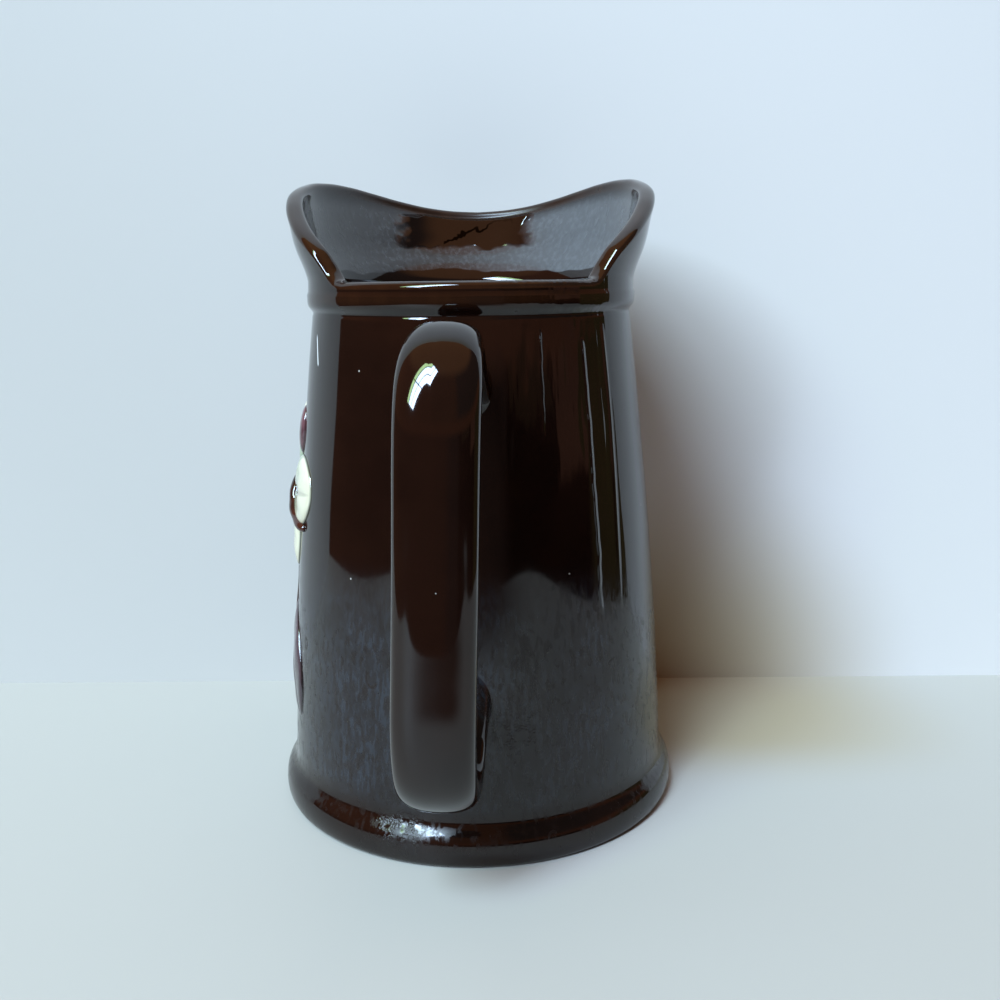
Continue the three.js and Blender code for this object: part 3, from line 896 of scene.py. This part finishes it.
def rounded(corners, cut, steps=9):
    """The outline with each corner turned to a curve: (1-t)^2 A + 2t(1-t) C + t^2 B, where C is the corner
    and A and B lie a given length before and after it."""
    places = []
    for i, corner in enumerate(corners):
        corner = np.asarray(corner, float)
        before = np.asarray(corners[i - 1], float) - corner
        after = np.asarray(corners[(i + 1) % len(corners)], float) - corner
        a = corner + before / np.linalg.norm(before) * cut[i]
        b = corner + after / np.linalg.norm(after) * cut[i]
        for t in np.linspace(0, 1, steps):
            places.append((1 - t) ** 2 * a + 2 * t * (1 - t) * corner + t**2 * b)
    return [(float(x), float(y), 0.0) for x, y in places]


def painted_shadow_in_front(f):
    """1 round a painted shadow at the table's front edge, which the lower wall mirrors, easing to 0."""
    return f.near((35.0, -620.0, 0.0), 370.0)


def painted_light_up_and_right(f):
    """0 low on the left and 1 high on the right: x plus half of z, eased. The wall is painted lighter that
    way: painted light in place of light from the top right.
    """
    x, y, z = f.parts()
    return (x + z * 0.5).between(-150, 290)


# The table's front is painted dark there: a painted shadow in front of the jug.
table_paint = stage_finish("table paint", (0.52, 0.505, 0.465), (0.06, 0.045, 0.035), painted_shadow_in_front, 0.5)
# The wall grows lighter high on the right: painted light.
wall_paint = stage_finish("wall paint", (0.54, 0.52, 0.495), (0.71, 0.68, 0.665), painted_light_up_and_right, 0.7)
table_corners = [
    (-0.555, -0.655), (0.456, -0.655), (0.45, -0.27), (0.422, -0.08),
    (0.345, 0.085), (0.345, 0.7), (-0.555, 0.7),
]
table_top = rounded(table_corners, [0.12, 0.17, 0.05, 0.04, 0.03, 0.1, 0.1])
wall_left, wall_right, wall_top = (-0.56, 0.079), (0.345, 0.0857), 0.85
wall_corners = [(*wall_left, -0.001), (*wall_right, -0.001), (*wall_right, wall_top), (*wall_left, wall_top)]
sheet_of("table", table_top, table_paint)
sheet_of("wall", wall_corners, wall_paint)
print("table outline:", len(table_top), "points")

# %% Soft lamp with bars
def lamp_part(name, centre, size, radiance, colour):
    """One lit field of the lamp. Its power is pi times the area times the wanted radiance."""
    lamp = bpy.data.lights.new(name, "AREA")
    lamp.shape = "RECTANGLE"
    lamp.size, lamp.size_y = size
    lamp.energy = math.pi * size[0] * size[1] * radiance
    lamp.color = colour
    made = bpy.data.objects.new(name, lamp)
    made.matrix_world = Matrix([
        (beside[0], upward[0], towards[0], centre[0]),
        (beside[1], upward[1], towards[1], centre[1]),
        (beside[2], upward[2], towards[2], centre[2]),
        (0, 0, 0, 1),
    ])
    bpy.context.collection.objects.link(made)


LAMP_AZIMUTH, LAMP_HEIGHT, LAMP_AWAY = math.radians(-35), math.radians(43), 3.5
flat = math.cos(LAMP_HEIGHT)
towards = np.array([math.sin(LAMP_AZIMUTH) * flat, -math.cos(LAMP_AZIMUTH) * flat, math.sin(LAMP_HEIGHT)])
beside = np.array([math.cos(LAMP_AZIMUTH), math.sin(LAMP_AZIMUTH), 0])
upward = np.cross(towards, beside)
middle = towards * LAMP_AWAY + np.array([0, 0, 0.1])
LAMP_ROLL = math.radians(-20)
across = beside * math.cos(LAMP_ROLL) + upward * math.sin(LAMP_ROLL)
beside, upward = across, np.cross(towards, across)
FIELD_TALL = 1.22
ROW_OFFSET = 0.64
fields = [
    (-0.33, 0.24, 15.0, (0.62, 1.0, 0.5)),
    (0.0, 0.32, 43.0, (0.57, 0.77, 1.0)),
    (0.35, 0.30, 57.0, (0.57, 0.76, 1.0)),
]
for number, (sideways, wide, radiance, tint) in enumerate(fields):
    for row in (-1, 1):
        centre = middle + beside * sideways + upward * row * ROW_OFFSET
        lamp_part(f"lamp_{number}_{row}", centre, (wide, FIELD_TALL), radiance, tint)
print("lamp at", middle.round(2))

# %% [markdown]
# ## Dim surroundings
#
# A direction gives an angle round, 0 towards the camera and growing to the right, and a height, which is
# the z of the direction. Each field is a product of eased steps in these two, and is mixed over the last one.

# %% Surroundings
world = bpy.data.worlds.new("surroundings")
bpy.context.scene.world = world
dim = Finish(world)
direction = dim.node("ShaderNodeTexCoord", out="Generated")
x_way, y_way, high = dim.parts(direction)
round_it = x_way.maths("ARCTAN2", y_way * -1.0) * math.degrees(1)
seen = dim.mix((0.13, 0.058, 0.035), (0.06, 0.045, 0.04), round_it.between(-6, 8))
seen = dim.mix(seen, (0.006, 0.005, 0.004), round_it.between(16, 26))
olive = round_it.between(26, 28) * round_it.between(52, 49) * high.between(0.055, 0.08)
seen = dim.mix(seen, (0.07, 0.05, 0.028), olive)
seen = dim.mix(seen, (0.26, 0.12, 0.08), round_it.between(56, 60) * high.between(-0.05, -0.02))
seen = dim.mix(seen, (0.1, 0.085, 0.035), round_it.between(78, 84))
seen = dim.mix(seen, (0.27, 0.105, 0.055), high.between(0.1, 0.17))
seen = dim.mix(seen, (0.2, 0.09, 0.05), high.between(0.2, 0.3) * round_it.between(-30, -10))
seen = dim.mix(seen, (0.06, 0.06, 0.055), high.between(0.22, 0.35) * round_it.between(10, 24))
seen = dim.mix(seen, (0.55, 0.26, 0.12), high.between(0.75, 0.88))
camera_ray = dim.node("ShaderNodeLightPath", out="Is Camera Ray")
seen = dim.mix(seen, (0.6, 0.68, 0.73), camera_ray)
background = dim.node("ShaderNodeBackground", {}, {"Color": seen, "Strength": 1.0})
dim.node("ShaderNodeOutputWorld", {}, {"Surface": background}, out=None)
bpy.context.scene.view_settings.view_transform = "Standard"
